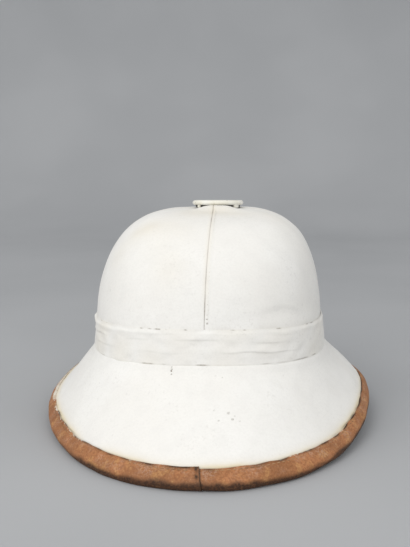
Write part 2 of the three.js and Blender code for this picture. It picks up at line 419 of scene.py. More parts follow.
# Dark marks on the brim: angle, share from crown to rim, radius, strength.
BRIM_MARKS = [
    (-9.9, 0.018, 1.3, 0.8), (-9.95, 0.034, 1.2, 0.85), (-10.1, 0.05, 1.1, 0.7), (-10.0, 0.078, 1.0, 0.4),
    (3.0, 0.084, 1.0, 0.25), (5.2, 0.1, 0.8, 0.2), (7.5, 0.411, 1.7, 0.26), (8.9, 0.469, 1.4, 0.4),
    (3.1, 0.387, 1.1, 0.3), (4.5, 0.477, 1.2, 0.28), (11.2, 0.485, 1.1, 0.28), (9.6, 0.44, 0.9, 0.2),
    (-28, 0.3, 0.8, 0.2), (31, 0.12, 0.9, 0.2), (140, 0.4, 1.5, 0.3), (205, 0.55, 1.8, 0.35),
    (262, 0.3, 1.2, 0.3),
]

# Dark specks on the crown and its band: angle, rise, radius, strength.
CROWN_MARKS = [
    (0.45, 34.1, 1.0, 0.42), (0.55, 31.0, 1.1, 0.45), (0.45, 37.0, 0.8, 0.25), (0.55, 44.3, 0.8, 0.2),
    (-8.2, 14.6, 0.9, 0.25), (-7.3, 12.7, 0.9, 0.3), (-6.8, 13.6, 0.8, 0.3), (-6.3, 14.6, 0.9, 0.3),
]


def painted_cloth():
    """Cotton under several coats of white paint, with cracks, scuffs and yellowed places."""
    s = Shader("painted_cloth")
    white = s.mix(s.step(s.noise(60, 4), 0.35, 0.68), PAINT.dull, PAINT.bright)
    blotch = s.step(s.noise(11, 5), 0.44, 0.68)
    white = s.mix(s.times(blotch, 0.3), white, PAINT.blotch)
    scuff = s.times(s.step(s.noise(2.4, 5), 0.56, 0.7), s.step(s.noise(32, 3), 0.42, 0.62))
    white = s.mix(s.times(scuff, 0.3), white, PAINT.scuff)
    fine = s.step(s.noise(1.5, 4), 0.4, 0.66)
    white = s.mix(s.times(fine, 0.18), white, PAINT.fine)
    yellow = s.times(s.mark("yellowing"), s.span(s.noise(15, 5), 0.3, 1.4))
    white = s.mix(yellow, white, PAINT.yellow)
    # Darker in patches just above the band, and painted shade along the lower edge of each of the band's
    # pleats.
    grime = s.times(s.mark("grime"), s.span(s.noise(1.6, 4), 0.2, 1.6))
    white = s.mix(grime, white, PAINT.grime)
    places = [(brim_point(np.radians(at), share, 0.0), *look) for at, share, *look in BRIM_MARKS]
    places += [(crown_place(at, rise), *look) for at, rise, *look in CROWN_MARKS]
    for place, radius, strength in places:
        spot = s.spot(place + TO_FRAME, radius)
        mark = s.times(spot, strength, s.span(s.step(s.noise(0.8, 3), 0.4, 0.6), 0.25, 1.5))
        white = s.mix(mark, white, PAINT.speck)
    crack = s.times(s.mark("crack"), s.span(s.noise(1.1, 4), 0.45, 1.5))
    colour = s.mix(crack, white, PAINT.crack)
    # Near-black painted shade on the cloth under the ventilator's cap.
    colour = s.mix(s.mark("hidden"), colour, PAINT.hidden)
    warp = s.math("SINE", s.times(s.mark("warp"), TURN / THREAD_PITCH))
    weft = s.math("SINE", s.times(s.mark("weft"), TURN / THREAD_PITCH))
    s.bump(s.times(warp, weft), 0.05, 0.3)
    s.bump(s.noise(2.2, 5), 0.14, 0.5)
    s.bump(s.noise(13, 4), 0.5, 0.45)
    return s.finish(colour, s.span(s.noise(6, 4), 0.62, 0.9))


def leather():
    """Worn tan hide, dark underneath with handling dirt and painted shade, and smeared with paint along its
    upper edge.
    """
    s = Shader("worn_leather")
    hide = s.mix(s.step(s.noise(24, 5), 0.36, 0.66), TAN.dark, TAN.light)
    ochre = s.step(s.noise(8, 5), 0.5, 0.68)
    hide = s.mix(s.times(ochre, 0.5), hide, TAN.ochre)
    mottle = s.step(s.noise(1.6, 6), 0.44, 0.62)
    hide = s.mix(s.times(mottle, 0.5), hide, TAN.mottle)
    fleck = s.step(s.noise(1.0, 4), 0.56, 0.7)
    hide = s.mix(s.times(fleck, 0.3), hide, TAN.fleck)
    upper = s.step(s.mark("wrap"), 0.36, 0.1)
    film = s.times(s.step(s.noise(11, 5), 0.42, 0.62), upper, s.step(s.noise(1.3, 5), 0.4, 0.62))
    hide = s.mix(s.times(film, 0.36), hide, TAN.film)
    # The leather's lower half is darker: painted shade together with handling dirt.
    uneven = s.times(s.math("SUBTRACT", s.noise(5, 5), 0.5), 0.22)
    under = s.step(s.math("ADD", s.mark("wrap"), uneven), 0.4, 0.56)
    soil = s.math("MAXIMUM", under, s.times(s.mark("soil"), s.span(s.noise(1.4, 5), 0.45, 1.5)))
    hide = s.mix(s.times(soil, 0.95), hide, TAN.soil)
    ragged = s.times(s.math("SUBTRACT", s.noise(2.4, 5), 0.5), 1.1)
    smear = s.step(s.math("ADD", s.mark("smear"), ragged), 0.42, 0.56)
    coat = s.mix(s.step(s.noise(5, 5), 0.4, 0.6), TAN.coat, TAN.old_coat)
    hide = s.mix(smear, hide, coat)
    crack = s.times(s.mark("crack"), s.span(s.noise(1.2, 4), 0.3, 1.6))
    hide = s.mix(crack, hide, TAN.crack)
    grain = s.node("TexVoronoi", {"Vector": s.place, "Scale": 1 / 1.1}, feature="DISTANCE_TO_EDGE")
    s.bump(grain.outputs["Distance"], 0.16, 0.5)
    s.bump(s.noise(3.5, 5), 0.5, 0.55)
    return s.finish(hide, s.span(s.noise(3, 4), 0.45, 0.78))


def painted_metal():
    """Thick old white paint on tinplate, yellowed and chipped round its rim, and near-black as painted shade
    underneath.
    """
    s = Shader("painted_metal")
    paint = s.mix(s.step(s.noise(8, 5), 0.35, 0.7), TIN.dull, TIN.bright)
    stain = s.step(s.noise(3.5, 5), 0.56, 0.72)
    paint = s.mix(s.times(stain, 0.5), paint, TIN.stain)
    chip = s.times(s.step(s.noise(1.8, 4), 0.68, 0.72), s.mark("edge"))
    colour = s.mix(chip, paint, TIN.chip)
    # Near-black painted shade under the cap.
    colour = s.mix(s.mark("under"), colour, TIN.under)
    s.bump(s.noise(1.6, 4), 0.15, 0.5)
    s.bump(chip, -0.1, 0.6)
    return s.finish(colour, s.span(s.noise(5, 4), 0.4, 0.65), specular=0.4)


def pith():
    """Bare moulded pith: pale, fibrous and matt."""
    s = Shader("moulded_pith")
    body = s.mix(s.step(s.noise(35, 5), 0.35, 0.68), FIBRE.dark, FIBRE.light)
    strands = s.noise(1.2, 5, stretch=(1, 1, 0.15))
    fibre = s.step(strands, 0.45, 0.66)
    body = s.mix(s.times(fibre, 0.5), body, FIBRE.strand)
    s.bump(strands, 0.3, 0.6)
    s.bump(s.noise(18, 3), 0.6, 0.4)
    return s.finish(body, s.span(fibre, 0.85, 1.0), specular=0.2)


def thread(name, colour, dirt):
    s = Shader(name)
    twist = s.step(s.noise(0.5, 2), 0.4, 0.6)
    s.bump(twist, 0.08, 0.6)
    dirty = s.times(s.step(s.noise(9, 4), 0.45, 0.65), 0.7)
    return s.finish(s.mix(dirty, colour, dirt), s.span(twist, 0.7, 0.9))


CLOTH_PAINT = painted_cloth()
HIDE = leather()
METAL_PAINT = painted_metal()
PITH = pith()
PAINTED_THREAD = thread("painted_thread", (0.82, 0.81, 0.775), (0.62, 0.58, 0.5))
TAN_THREAD = thread("tan_thread", (0.4, 0.23, 0.12), (0.16, 0.08, 0.04))


# Shell

SHELL_LUMPS = [(22, 0.25, 3)]


def add_shell():
    columns, crown_rows, brim_rows = 180, 44, 15
    t = np.linspace(0, TURN, columns, endpoint=False)[:, None]
    lifts = crown_lifts(crown_rows)[None]
    shares = np.linspace(0, 1, brim_rows)[None, 1:]

    def face(depth):
        return np.concatenate([crown_point(t, lifts, depth), brim_point(t, shares, depth)], 1)

    inside = face(SHELL_INSIDE)
    inside[..., 2] += lumps(inside, SHELL_LUMPS)
    add_wall(
        "shell_body", face(SHELL_TOP), inside, True, {}, PITH,
        ["shell_crown_near", "shell_crown_far", "shell_brim"],
    )


# Crown

CROWN_LUMPS = [(45, 0.3, 11), (16, 0.1, 12)]
SEAM_HALF_GAP = 0.05
SEAM_ROLL = Named(drop=0.2, width=0.4)  # how far a panel's turned edge rolls down at a seam
FELL = Named(width=3.2, proud=0.12)  # the turned-in cloth that stands proud beside a seam
BESIDE_SEAM = [0, 0.12, 0.3, 0.55, 0.9, 1.4, 2, 2.7, 3.4, 4.2, 5.5, 7.5, 10, 14, 19, 25]  # a panel's columns
WARP_PER_RADIAN = 100  # lengths for the weave
UPPER_CROWN = 80  # the cap changes the cloth above this rise alone
BAND_PRESS = 0.6

# Places where the crown is fuller or hollower: angle, rise, radius, how far out.
FULL_PLACES = [(90, 36, 22, 0.6), (-90, 46, 32, 0.8), (88, 107, 18, -0.9)]

# Cloth pushed up to the cap on its near side, in a wide swelling and a narrower one: half width, how far out.
UNDER_CAP = Named(across=6.8, back=-23.2, before=8.0, behind=4.4)
SWELLINGS = [(22.0, 2.1), (12.5, 2.2)]

# How dark the seams are: rise, share.
SEAM_DARKNESS = [(26, 0.5), (34, 0.55), (46, 0.48), (60, 0.28), (85, 0.2), (97, 0.2), (103, 0.38), (109, 0.5)]

# A shallow crease over the band on the right: angle, rise, depth.
CREASE = [
    (3, 33, 0), (8, 35.2, 0.25), (18, 37.5, 0.3), (26, 40.2, 0.6), (31, 41.4, 0.8), (36, 41.4, 0.8),
    (41, 40.2, 0.75), (46, 38, 0.5), (52, 33, 0),
]

# Yellowed places on the crown: angle, rise, radius, strength.
CROWN_STAINS = [
    (-49, 97, 14, 0.26), (-32, 98, 16, 0.1), (-16, 96, 13, 0.08), (-25, 84, 12, 0.06), (-15, 68, 14, 0.13),
    (-22, 108, 16, 0.2), (4, 108, 14, 0.22), (30, 108, 12, 0.14), (66, 108, 18, 0.12), (-58, 78, 12, 0.1),
    (150, 95, 26, 0.25), (215, 80, 24, 0.22), (100, 60, 18, 0.15),
]


def quarter_angles(quarter):
    """Angles across one crown panel, close together beside its seams."""
    between_columns = 36
    beside = np.array(BESIDE_SEAM)
    half_power = CROWN.plan_power / 2
    at_end = np.arcsin((beside / CROWN.half_width) ** half_power)
    at_side = math.pi / 2 - np.arcsin((beside / CROWN.half_length) ** half_power)[::-1]
    between = np.linspace(at_end[-1], at_side[0], between_columns)[1:-1]
    angles = np.concatenate([at_end, between, at_side])
    if quarter % 2:
        angles = math.pi / 2 - angles[::-1]
    return angles + quarter * math.pi / 2


def near_places(points, table):
    """The sum of soft round spots, from rows of angle, rise, radius, strength."""
    total = np.zeros(points.shape[:-1])
    for degrees, rise, radius, strength in table:
        distance = np.linalg.norm(points - crown_place(degrees, rise), axis=-1)
        total += strength * bell(distance, radius)
    return total


def crease_depth(t, rise):
    degrees, rises, depths = np.array(CREASE, float).T
    at = degrees_from(0, np.degrees(t))
    line = np.interp(at, degrees, rises)
    depth = np.interp(at, degrees, depths, left=0, right=0)
    below = line - rise
    return depth * smooth_step(-0.5, 0.8, below) * (1 - smooth_step(2, 13, below))


def band_press(t):
    """How far the band is drawn into the crown: only on the left."""
    return BAND_PRESS * left_side(t) ** 2


def cap_push(x, y):
    across, back = x - UNDER_CAP.across, y - UNDER_CAP.back
    height = sum(out * np.exp(-((across / half_width) ** 4)) for half_width, out in SWELLINGS)
    return height * bell(back, np.where(back < 0, UNDER_CAP.before, UNDER_CAP.behind))


def crown_marks(t, bare, rise, from_seam):
    heights, shares = np.array(SEAM_DARKNESS).T
    seam_dark = bell(from_seam, 0.36) * np.interp(rise, heights, shares)
    seam_ochre = 0.2 * bell(from_seam, 2.2) * smooth_step(25, 60, rise)
    # Patches where the cloth is darker just above the band.
    patches = smooth_step(-0.2, 1, ripples(bare, 12, seed=8))
    # Painted shade on the cloth under the ventilator's cap.
    reach = np.hypot(bare[..., 0] - VENT.offset, bare[..., 1])
    shaded = 0.95 * smooth_step(VENT.cap_radius - 1.5, VENT.cap_radius - 4.5, reach)
    return {
        "warp": np.broadcast_to(t * WARP_PER_RADIAN, from_seam.shape),
        "weft": rise,
        "yellowing": near_places(bare, CROWN_STAINS) + seam_ochre,
        "grime": 0.12 * bell(rise - BAND_TOP, 2.5) * patches,
        "crack": seam_dark * (0.9 + 0.25 * ripples(bare, 7, seed=21)),
        "hidden": shaded * (rise > UPPER_CROWN),
    }


def crown_panel(place, quarter):
    rows = 80
    t = quarter_angles(quarter)[:, None]
    lifts = np.append(crown_lifts(rows)[:-1], 0.0)[None]
    lifts = np.maximum(lifts, lift_at_rise(t, GAP))
    right = 1 if quarter in (0, 1) else -1
    near = 1 if quarter in (0, 3) else -1
    bare = crown_point(t, lifts, 0.0)
    shift = top_shift(crown_height(t, lifts))
    from_seam = np.minimum(np.abs(bare[..., 0] - shift), np.abs(bare[..., 1]))
    roll = SEAM_ROLL.drop * bell(from_seam, SEAM_ROLL.width)
    fell = FELL.proud * (1 - smooth_step(FELL.width - 0.7, FELL.width + 0.5, from_seam))
    rise = bare[..., 2] - BrimLine(t).foot_z
    above_band = smooth_step(BAND_TOP, BAND_TOP + 14, rise)
    uneven = lumps(bare, CROWN_LUMPS) - near_places(bare, FULL_PLACES)
    under_cap = cap_push(bare[..., 0], bare[..., 1]) * (rise > UPPER_CROWN)
    depth = roll - fell + crease_depth(t, rise) + uneven * above_band - under_cap
    depth += band_press(t) * smooth_step(BAND_TOP, BAND_TOP - 4, rise)

    def face(depth):
        points = crown_point(t, lifts, depth)
        across = points[..., 0] - shift
        points[..., 0] = shift + right * np.hypot(across, SEAM_HALF_GAP)
        points[..., 1] = -near * np.hypot(points[..., 1], SEAM_HALF_GAP)
        return points

    add_wall(
        f"crown_cloth_{place}", face(depth), face(np.full_like(depth, CLOTH)), False,
        crown_marks(t, bare, rise, from_seam), CLOTH_PAINT, [f"crown_panel_{place}"],
    )


# Brim

BRIM_LUMPS = [(50, 0.3, 31), (14, 0.07, 32)]
FOOT_FILLET = 1.2  # paint that fills the corner under the band, most of it on the right
COVER = Named(ends=10.0, less_right=4.4, less_left=2.6)  # the leather's width on the brim's upper side

# Where the brim is fuller or hollower: angle and its spread, share and its spread, how far out.
BRIM_FULL = [(100, 28, 0.58, 0.34, 2.1), (-88, 25, 0.12, 0.17, -0.95)]

# Where paint fills the corner beside the leather: first and last angle, share.
PAINTED_SIDE = [(-91, -64, 1), (210, 271, 1)]
SIDE_FILLET = Named(height=0.9, before=1.8, under=0.5)


def cover_width(t):
    """How much of the brim's upper side the binding covers: less at the sides."""
    less = np.where(np.sin(t) > 0, COVER.less_right, COVER.less_left)
    return COVER.ends - less * np.sin(t) ** 8


def add_brim():
    t, shares = round_grid(columns=320, rows=72, first=0, last=1)
    bare = brim_point(t, shares, 0.0)
    length = BrimLine(t).length
    from_foot = shares * length
    beside = (1 - shares) * length - cover_width(t)
    hem = smooth_step(1, 0.85, shares) * smooth_step(0.0, 0.1, shares)
    fillet = FOOT_FILLET * (1 + 0.4 * np.sin(t) - 0.5 * left_side(t))
    fillet = fillet * bell(from_foot, 4.2 + 2.2 * np.sin(t))
    full = np.zeros_like(shares)
    for degrees, spread, share, share_spread, out in BRIM_FULL:
        turned = degrees_from(degrees, np.degrees(t)) / spread
        full += out * np.exp(-(turned ** 2) - ((shares - share) / share_spread) ** 2)
    side_spread = np.where(beside > 0, SIDE_FILLET.before, SIDE_FILLET.under)
    side_fillet = SIDE_FILLET.height * along_spans(np.degrees(t), PAINTED_SIDE) * bell(beside, side_spread)
    uneven = np.abs(lumps(bare, BRIM_LUMPS)) - full
    outside = brim_point(t, shares, uneven * hem - fillet - side_fillet)
    rim_line = bell(beside, 0.6) * (0.35 + 0.2 * ripples(bare, 9, seed=35))
    from_leather = np.maximum(beside, 0)
    near_rim = 0.35 * bell(from_leather, 5.5) + 0.6 * bell(from_leather, 2.4)
    marks = {
        "warp": bare[..., 0],
        "weft": bare[..., 1],
        "yellowing": near_rim * (0.85 + 0.3 * ripples(bare, 25, seed=34)),
        "crack": rim_line * (1 - 0.92 * smooth_step(0.75, 0.95, -np.sin(t))),
    }
    add_wall(
        "brim_cloth", outside, brim_point(t, shares, CLOTH), True, marks,
        CLOTH_PAINT, ["brim_cover"],
    )


# Band

# The lower edges of the band's pleats: angle, rise.
UPPER_FOLD = [
    (-135, 16.5), (-90, 15.5), (-60, 16), (-42, 16.2), (-25, 17.6), (-8, 18.6), (3, 18.4), (10, 16.8),
    (16, 15.9), (24, 16.2), (38, 15), (52, 14), (72, 15), (90, 16), (135, 17.2), (180, 16.4),
]
LOWER_FOLD = [
    (-150, 8.6), (-100, 9.2), (-70, 8.4), (-40, 9.6), (-15, 8.8), (0, 9.8), (14, 9.9), (28, 8.8),
    (45, 8.2), (75, 9.4), (110, 8.8), (150, 9.8), (180, 9.2),
]
FAINT_FOLD = [
    (-150, 22), (-90, 21), (-55, 20.6), (-30, 22.2), (0, 22.6), (30, 21), (60, 20.4), (100, 22), (180, 21.4),
]
FOLDS = [(UPPER_FOLD, 0.36, 61), (LOWER_FOLD, 0.24, 62), (FAINT_FOLD, 0.2, 63)]  # edge, height, seed

# Where paint has broken along the band's edges: first and last angle, share.
TOP_CRACKS = [
    (-57.6, -44.5, 0.6), (-25.2, -13.1, 0.8), (-10.5, -7.8, 0.9), (-5.6, -4.9, 0.9), (7.7, 14, 0.75),
    (26.9, 33.2, 0.7), (49.6, 57.4, 0.6), (95, 110, 0.6), (150, 165, 0.7), (200, 215, 0.6), (250, 262, 0.7),
]
FOOT_CRACKS = [
    (-58, -50, 0.5), (-23, -18, 0.5), (-14, -12.4, 0.4), (-1.6, 0.8, 0.8), (20, 36, 0.3), (36, 57, 0.45),
    (120, 150, 0.4), (230, 250, 0.45),
]

BAND_OUT = Named(middle=1.1, more_right=0.5, top=0.6)  # how far the band stands out from the crown
BULGE = Named(rise=22.2, width=2.4, out=1.3)  # the uppermost pleat, fuller on the left
WARP_PER_DEGREE = 1.9  # lengths for the weave


def add_band():
    columns, rows, inner_rows = 480, 78, 5
    t, rise = round_grid(columns, rows, BAND_TOP, BAND_FOOT)
    degrees = np.degrees(t)
    bare = wall_point(t, rise, 0.0)
    flat = bare * np.array([1, 1, 0])
    left = left_side(t) ** 2
    out = BAND_OUT.middle + BAND_OUT.more_right * np.sin(t) - band_press(t)
    out = out + BULGE.out * left * bell(rise - BULGE.rise, BULGE.width)
    smooth = smooth_step(42, 62, degrees) * (1 - smooth_step(100, 130, degrees))
    # Painted shade along the lower edge of each pleat, darkening the cloth's colour.
    shade = np.zeros_like(rise)
    for table, height, seed in FOLDS:
        over = rise - round_table(degrees, table) - 0.35 * ripples(flat, 14, seed + 10)
        strength = height * np.maximum(0.5 + 0.6 * ripples(flat, 26, seed), 0.05) * (1 - 0.75 * smooth)
        out += strength * smooth_step(-0.7, 0.6, over) * (1 - smooth_step(0, 7, over))
        shade += strength * bell(over + 0.35, 0.6)
    long_wrinkles = 0.12 * ripples(bare * np.array([1, 1, 2.4]), 10, seed=41)
    short_wrinkles = 0.045 * ripples(bare * np.array([1, 1, 1.6]), 5, seed=42)
    out += long_wrinkles + short_wrinkles
    tucked = smooth_step(0, 4.0, BAND_TOP - rise)
    at_top = BAND_OUT.top - band_press(t)
    outside = wall_point(t, rise, -(at_top + (out - at_top) * tucked))
    inner_t, inner_rise = round_grid(columns, inner_rows, BAND_TOP, BAND_FOOT)
    inside = wall_point(inner_t, inner_rise, band_press(inner_t) - GAP)
    broken = smooth_step(-0.3, 0.4, ripples(flat, 2.6, seed=43))
    top_crack = bell(rise - BAND_TOP + 0.35, 0.4) * along_spans(degrees, TOP_CRACKS) * broken
    foot_line = BAND_FOOT + 1.5 + 0.3 * np.sin(t) - 0.7 * left
    foot_crack = bell(rise - foot_line, 0.4) * (0.1 - 0.1 * smooth + along_spans(degrees, FOOT_CRACKS))
    marks = {
        "warp": degrees * WARP_PER_DEGREE,
        "weft": rise,
        "yellowing": 0.08 * np.abs(ripples(bare, 22, seed=46)),
        # The painted shade under the pleats.
        "grime": 0.14 * shade,
        "crack": top_crack + foot_crack * (0.7 + 0.4 * ripples(flat, 5, seed=45)),
    }
    add_wall("band_cloth", outside, inside, True, marks, CLOTH_PAINT, ["band"])


# Edge binding

# Paint carried on to the leather: angle, strength, reach in from the leather's edge.
SMEARS = [
    (-180, 0.5, 2), (-150, 0.6, 3), (-115, 1.2, 14), (-96, 1.2, 14), (-89, 1.0, 7.5), (-80, 1.0, 5.5),
    (-74, 0.95, 5.5), (-69, 0.75, 4), (-64, 0.45, 2), (-45, 0.42, 2), (-20, 0.4, 1.6), (0, 0.3, 1.4),
    (20, 0.4, 1.6), (45, 0.4, 1.8), (60, 0.4, 1.6), (78, 0.36, 1.4), (95, 0.5, 2.5), (115, 0.9, 8),
    (140, 0.6, 3), (180, 0.5, 2),
]
LEATHER_LUMPS = [(13, 0.13, 53), (40, 0.15, 54)]
LEATHER_SUNK = 0.15  # how far its lumpy face lies under the plain one
LEATHER_SKIVE = 0.75  # how much the leather is thinned towards its edges
LEATHER_WAVER = [(26, 0.35, 51), (8, 0.2, 52)]  # of the leather's edge
LEATHER_ROUND = 46  # from the leather's upper edge round to its lower one
JOIN_COLUMNS = [0, 0.06, 0.15, 0.3, 0.5, 0.75, 1.05, 1.4, 1.8]  # degrees from the join
JOIN = Named(lean=2.0, half_gap=0.1, reach=5)  # the ends meet on a slant
JOIN_STEP = Named(left=0.9, right=-0.6, reach=26)  # how much wider each end is
JOIN_LIP = Named(left=0.35, left_reach=2.5, right=-0.3, right_reach=2.0)  # how far each end stands up
NOTCH = Named(degrees=69.3, spread=1.5, reach=2.2)  # a dark worn place in the leather's edge


def binding_face(t, radius, skive, cover):
    """One face of the U-shaped leather, from its upper edge round the rim to its lower edge."""
    leg_rows, bend_rows = 12, 30
    line = BrimLine(t)
    cos, sin = np.cos(line.slope), np.sin(line.slope)
    along = np.stack([line.outward[0] * cos, line.outward[1] * cos, -sin], -1)
    up = np.stack([line.outward[0] * sin, line.outward[1] * sin, cos], -1)
    core = SHELL_INSIDE / 2
    centre = np.stack([line.rim[0], line.rim[1], line.rim_z], -1) - core * up
    angles = np.linspace(0, math.pi, bend_rows)[None, :, None]
    arc = centre + radius * (along * np.sin(angles) + up * np.cos(angles))
    from_edge = np.linspace(0, 1, leg_rows, endpoint=False)[None]
    share = 1 - cover * (1 - from_edge) / line.length
    thin = skive * (1 - smooth_step(0, 0.45, from_edge))
    upper = brim_point(t, share, core - radius + thin)
    lower = brim_point(t, share[:, ::-1], core + radius - thin[:, ::-1])
    return np.concatenate([upper, arc, lower], 1)


def binding_marks(t, outside, outward, wrap, from_join, left):
    """Paint, dirt with painted shade, and dark lines on the leather. left is 1 on the left of the join."""
    from_edge = wrap * LEATHER_ROUND
    degrees = degrees_from(0, np.degrees(t))
    angles, strengths, reaches = np.array(SMEARS).T
    painted = np.interp(degrees, angles, strengths)
    strength = painted * (0.9 + 0.25 * ripples(outside, 18, seed=57))
    right = smooth_step(22, 50, degrees) * (1 - smooth_step(115, 150, degrees))

    line_width = 0.6 + 1.1 * np.maximum(np.cos(t), 0) ** 2
    edge_line = bell(from_edge - 0.1, line_width) * (0.55 + 0.35 * ripples(outside, 7, seed=55))
    edge_line = edge_line * (1 - 0.85 * along_spans(degrees, PAINTED_SIDE))
    edge_line = edge_line * (0.35 + 0.65 * smooth_step(0.95, 0.7, painted) + 0.7 * right)
    worn = bell(degrees - NOTCH.degrees, NOTCH.spread) * bell(from_edge, NOTCH.reach)
    streak = bell(from_join - 2.3, 1.1) * smooth_step(0.36, 0.16, wrap)
    streak = 0.85 * streak * (0.9 + 0.3 * ripples(outside, 3, seed=56))
    join_stain = left * (streak + 0.3 * bell(from_join, 3))
    join_line = 0.75 * bell(from_join, 0.5)

    # Darker low down near the floor, as dirt with painted contact shadow, and on the right where the leather
    # faces down, as painted shade.
    soil_and_shade_top = 7.1 + 1.4 * bell(degrees, 16) + 0.4 * ripples(outside, 7, seed=58)
    soil = smooth_step(soil_and_shade_top, soil_and_shade_top - 3.8, outside[..., 2])
    soil = soil * (1 - 0.8 * smooth_step(-36, -60, degrees) * smooth_step(-150, -120, degrees))
    facing_down_shade = smooth_step(0.42, -0.05, outward[..., 2] + 0.08 * ripples(outside, 9, seed=59))
    return {
        "wrap": wrap,
        "soil": np.maximum(soil, right * facing_down_shade),
        "smear": strength * bell(from_edge, np.interp(degrees, angles, reaches)),
        "crack": edge_line + worn + join_stain + join_line,
    }


def add_binding():
    columns = 420
    join = np.radians(JOIN_COLUMNS)
    between = np.linspace(join[-1], TURN - join[-1], columns)[1:-1]
    t = np.concatenate([join, between, TURN - join[::-1]])[:, None]
    from_join = np.minimum(t, TURN - t) * BRIM.half_width
    left = (t > math.pi).astype(float)
    rim = brim_point(t, 1.0, 0.0)[:, 0]
    step = np.where(left > 0, JOIN_STEP.left, JOIN_STEP.right) * np.exp(-from_join / JOIN_STEP.reach)
    cover = cover_width(t) + lumps(rim, LEATHER_WAVER)[:, None] + step
    inner_radius = SHELL_INSIDE / 2 + GAP
    inside = binding_face(t, inner_radius, 0.0, cover)
    bare = binding_face(t, inner_radius + LEATHER, LEATHER_SKIVE, cover)
    outward = unit(bare - inside)
    lip_reach = np.where(left > 0, JOIN_LIP.left_reach, JOIN_LIP.right_reach)
    lip = np.where(left > 0, JOIN_LIP.left, JOIN_LIP.right) * np.exp(-from_join / lip_reach)
    uneven = lumps(bare, LEATHER_LUMPS) - LEATHER_SUNK
    outside = bare + outward * (uneven + lip)[..., None]
    wrap = np.linspace(0, 1, outside.shape[1])[None] + np.zeros_like(t)
    slant = JOIN.lean * (np.minimum(2 * wrap, 1.1) - 0.35)
    apart = np.where(left > 0, -1, 1) * JOIN.half_gap
    for face in (outside, inside):
        face[..., 0] += (slant + apart) * np.exp(-from_join / JOIN.reach)
        face[..., 2] = np.maximum(face[..., 2], 0)
    add_wall(
        "leather_binding", outside, inside, False, binding_marks(t, outside, outward, wrap, from_join, left),
        HIDE, ["edge_binding"],
    )


# Ventilator

# The top of the cap inside its rolled rim: share of its radius, height.
DISH = [(0.86, -0.12), (0.8, -0.2), (0.7, 0.0), (0.5, 0.35), (0.25, 0.55), (0.0, 0.6)]

# The corners of a lug's section, as shares of its half depth and half width, and the bevel at its foot.
LUG_CORNERS = [(1, -0.8), (1, 0.8), (0.75, 1), (-0.75, 1), (-1, 0.8), (-1, -0.8), (-0.75, -1), (0.75, -1)]
LUG_BEVEL = Named(height=0.25, share=0.9)


def vent_profile():
    """Radius and height over the crown's top, from the nut's middle round to the cap's middle."""
    cap_top = VENT.stand + VENT.rim
    roll = VENT.rim / 2
    ceiling = cap_top - VENT.wall
    radius, centre = VENT.cap_radius - roll, VENT.stand + roll
    angles = np.radians(np.linspace(-190, 80, 28))
    rolled = np.stack([radius + roll * np.cos(angles), centre + roll * np.sin(angles)], -1)
    dish = np.array(DISH) * np.array([VENT.cap_radius, VENT.dome / DISH[-1][1]]) + np.array([0, cap_top])
    nut, bevel = VENT.nut_radius, VENT.nut_bevel
    nut_top = -SHELL_INSIDE - GAP
    nut_foot = nut_top - VENT.nut
    post, fillet = VENT.post_radius, VENT.post_fillet
    hidden = np.array([
        [0, nut_foot], [nut - bevel, nut_foot], [nut, nut_foot + bevel], [nut, nut_top - bevel],
        [nut - bevel, nut_top], [post, nut_top], [post, ceiling - fillet], [post + fillet, ceiling],
        [radius - 2.6, ceiling],
    ])
    # Painted shade: the nut, the post, the cap's ceiling and the lower half of its rolled rim, which faces
    # down, are near-black.
    shaded = smooth_step(-85, -125, np.degrees(angles))
    under = np.concatenate([np.ones(len(hidden)), shaded, np.zeros(len(dish))])
    return np.concatenate([hidden, rolled, dish]), under


def lug_box(turn, full_width):
    """A bent tab from the cap down to the crown, as a box with rounded corners."""
    depth, width = VENT.lug_depth / 2, full_width / 2
    foot, head = GAP, VENT.stand + VENT.rim / 2
    ring = np.array([[VENT.lug_radius - depth + depth * a, width * b, 0] for a, b in LUG_CORNERS])
    levels = [(foot, LUG_BEVEL.share), (foot + LUG_BEVEL.height, 1.0), (head, 1.0)]
    middle = ring.mean(0)
    points = np.concatenate([middle + (ring - middle) * s + np.array([0, 0, z]) for z, s in levels])
    cos, sin = math.cos(turn), math.sin(turn)
    x, y, z = points.T
    turned = np.stack([x * cos - y * sin, x * sin + y * cos, z], -1)
    count = len(ring)
    faces = [tuple(reversed(range(count))), tuple(range(2 * count, 3 * count))]
    for level in range(len(levels) - 1):
        faces += faces_between(level * count, (level + 1) * count, count)
    return turned, faces


def shaded_neck_ring(around):
    """A neck under the cap, a closed ring that reaches down to the cloth, painted near-black as shade."""
    sides = len(around)
    outer, inner = VENT.neck_radius, VENT.neck_radius - VENT.neck_wall
    loops = []
    for radius, at_head in ((outer, False), (outer, True), (inner, True), (inner, False)):
        x, y = radius * np.cos(around), radius * np.sin(around)
        head = VENT.stand + VENT.neck_tuck - math.radians(VENT.tilt) * y
        foot = GAP + 0.1 + cap_push(x + VENT.offset, y)
        loops.append(np.stack([x, y, head if at_head else np.minimum(foot, head - 0.2)], -1))
    faces = []
    for loop in range(len(loops)):
        faces += faces_between(loop * sides, (loop + 1) % len(loops) * sides, sides)
    return np.concatenate(loops), faces


